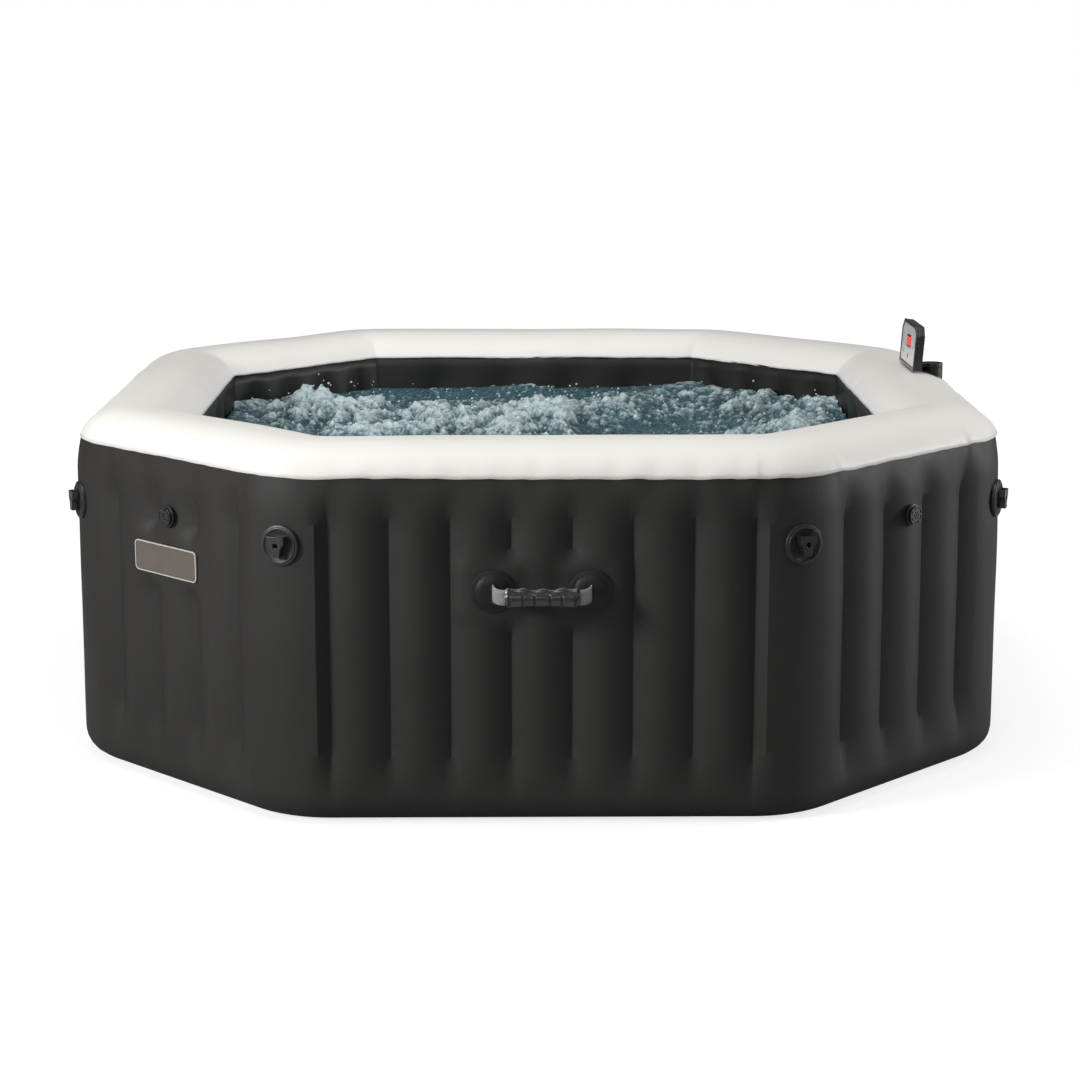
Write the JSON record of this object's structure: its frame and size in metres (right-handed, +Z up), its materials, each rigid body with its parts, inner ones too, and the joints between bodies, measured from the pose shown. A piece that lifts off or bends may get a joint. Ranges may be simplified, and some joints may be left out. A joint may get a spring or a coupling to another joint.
{
  "type": "inflatable hot tub",
  "caption": "Octagonal inflatable hot tub with ribbed dark walls, a pale puffed rim, a built-in pump base, jets, carry handles, cover buckles and a turning control panel.",
  "frame": {"origin": "on the ground under the middle of the tub", "axes": "+Z up, -Y out of the front face with the front handle, +X towards the pump base and the control panel"},
  "size_m": [1.9443, 1.994, 0.8138],
  "materials": {
    "wall_vinyl": "dark grey laminated vinyl, matt, fine leather grain",
    "rim_vinyl": "warm white vinyl, satin, fine leather grain",
    "liner_vinyl": "black grey vinyl, satin",
    "web_fabric": "woven drop-thread web",
    "black_moulding": "moulded black plastic, satin gloss",
    "grey_moulding": "moulded grey plastic, satin",
    "webbing": "grey woven webbing",
    "pad_vinyl": "black welded vinyl pad",
    "plate": "taupe moulded plate with a pale border",
    "pipe": "clear grey hose",
    "screw": "stainless steel",
    "heater": "stainless steel tube",
    "motor": "painted motor case",
    "board": "green circuit board",
    "panel_white": "silver white face sheet",
    "panel_window": "smoked window with red lit digits",
    "key": "pale grey keys",
    "filter_paper": "pleated white filter paper"
  },
  "bodies": {
    "tub": {"outer_wall": "wall_vinyl", "top_skin": "rim_vinyl", "inner_wall": "liner_vinyl", "floor_sheet": "wall_vinyl", "wall_webs": "web_fabric", "bubble_ring": "liner_vinyl", "name_plate": "plate", "handle_pads": "pad_vinyl", "cover_buckle_pads": "black_moulding", "cover_buckle_sockets": "black_moulding", "air_inlet_flanges": "black_moulding", "jet_bodies": "black_moulding", "jet_rings": "grey_moulding", "hoses": "pipe", "inflation_valve_body": "black_moulding", "drain_valve_body": "black_moulding", "base_housing": "black_moulding", "base_cover": "black_moulding", "base_cover_screws": "screw", "pump_volute": "grey_moulding", "pump_motor": "motor", "heater_tube": "heater", "blower_housing": "grey_moulding", "control_board": "board", "wall_fittings": "black_moulding", "panel_bracket": "black_moulding"},
    "handle_front": {"handle_strap_front": "webbing", "handle_grip_front": "black_moulding"},
    "handle_back": {"handle_strap_back": "webbing", "handle_grip_back": "black_moulding"},
    "handle_left": {"handle_strap_left": "webbing", "handle_grip_left": "black_moulding"},
    "air_cap_1": {"air_cap_1": "black_moulding"},
    "air_cap_2": {"air_cap_2": "black_moulding"},
    "air_cap_3": {"air_cap_3": "black_moulding"},
    "air_cap_4": {"air_cap_4": "black_moulding"},
    "jet_nozzle_1": {"jet_nozzle_1": "grey_moulding"},
    "jet_nozzle_2": {"jet_nozzle_2": "grey_moulding"},
    "jet_nozzle_3": {"jet_nozzle_3": "grey_moulding"},
    "jet_nozzle_4": {"jet_nozzle_4": "grey_moulding"},
    "filter_cap_1": {"filter_cap_1": "black_moulding"},
    "filter_cartridge_1": {"filter_cartridge_1": "filter_paper"},
    "filter_cap_2": {"filter_cap_2": "black_moulding"},
    "filter_cartridge_2": {"filter_cartridge_2": "filter_paper"},
    "pump_rotor": {"pump_impeller": "grey_moulding"},
    "blower_rotor": {"blower_fan": "grey_moulding"},
    "inflation_valve_stem": {"inflation_valve_stem": "black_moulding"},
    "inflation_valve_cap": {"inflation_valve_cap": "black_moulding"},
    "drain_cap": {"drain_cap": "black_moulding"},
    "control_panel": {"panel_swivel": "black_moulding", "panel_shell": "black_moulding", "panel_bezel": "black_moulding", "panel_face": "panel_white", "display_window": "panel_window"},
    "button_heat": {"button_heat": "key"},
    "button_filter": {"button_filter": "key"},
    "button_bubbles": {"button_bubbles": "key"},
    "button_warmer": {"button_warmer": "key"},
    "button_cooler": {"button_cooler": "key"},
    "button_power": {"button_power": "key"}
  },
  "joints": [
    {"name": "handle_front_swing", "type": "hinge", "parent": "tub", "child": "handle_front", "pos_m": [0, -0.951, 0.445], "axis": [1, 0, 0], "range_deg": [-45, 45]},
    {"name": "handle_back_swing", "type": "hinge", "parent": "tub", "child": "handle_back", "pos_m": [0, 0.951, 0.445], "axis": [-1, 0, 0], "range_deg": [-45, 45]},
    {"name": "handle_left_swing", "type": "hinge", "parent": "tub", "child": "handle_left", "pos_m": [-0.951, 0, 0.445], "axis": [0, -1, 0], "range_deg": [-45, 45]},
    {"name": "air_cap_1_turn", "type": "hinge", "parent": "tub", "child": "air_cap_1", "pos_m": [0.71, -0.71, 0.541], "axis": [0.7071, -0.7071, 0], "range_deg": [0, 90]},
    {"name": "air_cap_2_turn", "type": "hinge", "parent": "tub", "child": "air_cap_2", "pos_m": [0.71, 0.71, 0.541], "axis": [0.7071, 0.7071, 0], "range_deg": [0, 90]},
    {"name": "air_cap_3_turn", "type": "hinge", "parent": "tub", "child": "air_cap_3", "pos_m": [-0.71, 0.71, 0.541], "axis": [-0.7071, 0.7071, 0], "range_deg": [0, 90]},
    {"name": "air_cap_4_turn", "type": "hinge", "parent": "tub", "child": "air_cap_4", "pos_m": [-0.71, -0.71, 0.541], "axis": [-0.7071, -0.7071, 0], "range_deg": [0, 90]},
    {"name": "jet_nozzle_1_swivel", "type": "hinge", "parent": "tub", "child": "jet_nozzle_1", "pos_m": [0.55585, -0.55585, 0.25], "axis": [0, 0, 1], "range_deg": [-20, 20]},
    {"name": "jet_nozzle_2_swivel", "type": "hinge", "parent": "tub", "child": "jet_nozzle_2", "pos_m": [0.55585, 0.55585, 0.25], "axis": [0, 0, 1], "range_deg": [-20, 20]},
    {"name": "jet_nozzle_3_swivel", "type": "hinge", "parent": "tub", "child": "jet_nozzle_3", "pos_m": [-0.55585, 0.55585, 0.25], "axis": [0, 0, 1], "range_deg": [-20, 20]},
    {"name": "jet_nozzle_4_swivel", "type": "hinge", "parent": "tub", "child": "jet_nozzle_4", "pos_m": [-0.55585, -0.55585, 0.25], "axis": [0, 0, 1], "range_deg": [-20, 20]},
    {"name": "filter_cap_1_pull", "type": "slide", "parent": "tub", "child": "filter_cap_1", "axis": [-1, 0, 0], "range_m": [0, 0.16]},
    {"name": "filter_cartridge_1_pull", "type": "slide", "parent": "tub", "child": "filter_cartridge_1", "axis": [-1, 0, 0], "range_m": [0, 0.048]},
    {"name": "filter_cap_2_pull", "type": "slide", "parent": "tub", "child": "filter_cap_2", "axis": [-1, 0, 0], "range_m": [0, 0.16]},
    {"name": "filter_cartridge_2_pull", "type": "slide", "parent": "tub", "child": "filter_cartridge_2", "axis": [-1, 0, 0], "range_m": [0, 0.048]},
    {"name": "pump_spin", "type": "hinge", "parent": "tub", "child": "pump_rotor", "pos_m": [0.82, -0.127, 0.15], "axis": [0, 1, 0], "continuous": true},
    {"name": "blower_spin", "type": "hinge", "parent": "tub", "child": "blower_rotor", "pos_m": [0.82, -0.104, 0.455], "axis": [0, 1, 0], "continuous": true},
    {"name": "inflation_valve_press", "type": "slide", "parent": "tub", "child": "inflation_valve_stem", "axis": [0, -1, 0], "range_m": [0, 0.004], "stiffness_N_per_m": 300},
    {"name": "inflation_valve_cap_open", "type": "hinge", "parent": "tub", "child": "inflation_valve_cap", "pos_m": [-0.25, 0.9416, 0.303], "axis": [-1, 0, 0], "range_deg": [0, 150]},
    {"name": "drain_cap_open", "type": "hinge", "parent": "tub", "child": "drain_cap", "pos_m": [-0.9573, -0.25, 0.097], "axis": [0, -1, 0], "range_deg": [0, 150]},
    {"name": "panel_turn", "type": "hinge", "parent": "tub", "child": "control_panel", "pos_m": [0.88, 0.1, 0.714], "axis": [0, 0, 1], "range_deg": [-180, 0]},
    {"name": "button_heat_press", "type": "slide", "parent": "control_panel", "child": "button_heat", "axis": [0.9976, 0, -0.0698], "range_m": [0, 0.0008], "stiffness_N_per_m": 400},
    {"name": "button_filter_press", "type": "slide", "parent": "control_panel", "child": "button_filter", "axis": [0.9976, 0, -0.0698], "range_m": [0, 0.0008], "stiffness_N_per_m": 400},
    {"name": "button_bubbles_press", "type": "slide", "parent": "control_panel", "child": "button_bubbles", "axis": [0.9976, 0, -0.0698], "range_m": [0, 0.0008], "stiffness_N_per_m": 400},
    {"name": "button_warmer_press", "type": "slide", "parent": "control_panel", "child": "button_warmer", "axis": [0.9976, 0, -0.0698], "range_m": [0, 0.0008], "stiffness_N_per_m": 400},
    {"name": "button_cooler_press", "type": "slide", "parent": "control_panel", "child": "button_cooler", "axis": [0.9976, 0, -0.0698], "range_m": [0, 0.0008], "stiffness_N_per_m": 400},
    {"name": "button_power_press", "type": "slide", "parent": "control_panel", "child": "button_power", "axis": [0.9976, 0, -0.0698], "range_m": [0, 0.0008], "stiffness_N_per_m": 400}
  ],
  "couplings": [
    {"joint": "filter_cartridge_1_pull", "follows": "filter_cap_1_pull", "ratio": 0.3},
    {"joint": "filter_cartridge_2_pull", "follows": "filter_cap_2_pull", "ratio": 0.3}
  ]
}
